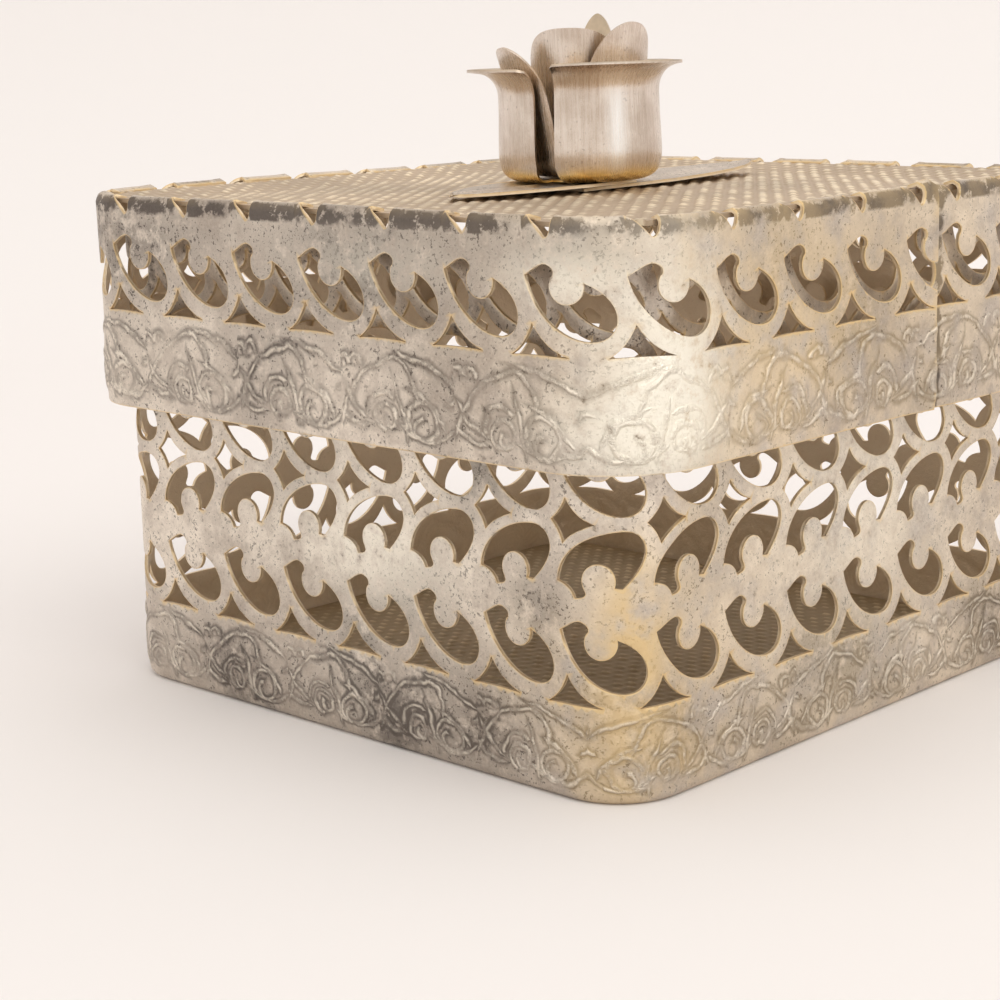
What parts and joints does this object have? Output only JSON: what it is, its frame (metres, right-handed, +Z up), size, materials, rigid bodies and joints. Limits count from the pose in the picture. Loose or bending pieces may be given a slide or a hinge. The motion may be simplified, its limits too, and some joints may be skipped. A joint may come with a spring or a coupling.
{
  "type": "trinket box",
  "caption": "Square trinket box of pierced and embossed silver-plated sheet, with round corners and a lift-off lid with a rose knob.",
  "frame": {"origin": "centre of the underside, on the surface that the box stands on", "axes": "+Z up, +X to the side whose lid strip is lapped, -Y to the front"},
  "size_m": [0.088, 0.088, 0.0781],
  "materials": {
    "silver_plate": "worn silver plate over brass, tarnished in the hollows",
    "worn_plate": "thin silver plate worn to warm brass",
    "bright_plate": "brushed silver plate, warm inside the petals"
  },
  "bodies": {
    "base": {"base_wall_front": "silver_plate", "base_wall_front_right": "silver_plate", "base_wall_right": "silver_plate", "base_wall_back_right": "silver_plate", "base_wall_back": "silver_plate", "base_wall_back_left": "silver_plate", "base_wall_left": "silver_plate", "base_wall_front_left": "silver_plate", "base_floor": "worn_plate"},
    "lid": {"lid_wall_front": "silver_plate", "lid_wall_front_right": "silver_plate", "lid_wall_right": "silver_plate", "lid_wall_back_right": "silver_plate", "lid_wall_back": "silver_plate", "lid_wall_back_left": "silver_plate", "lid_wall_left": "silver_plate", "lid_wall_front_left": "silver_plate", "lid_panel": "worn_plate", "leaf_back": "bright_plate", "leaf_front": "bright_plate", "rose_outer_petals": "bright_plate", "rose_middle_petals": "bright_plate", "rose_bud": "bright_plate", "rose_rivet": "worn_plate", "rivet_washer": "worn_plate"}
  },
  "joints": [
    {"name": "lid_lift", "type": "slide", "parent": "base", "child": "lid", "axis": [0, 0, 1], "range_m": [0, 0.06]}
  ]
}
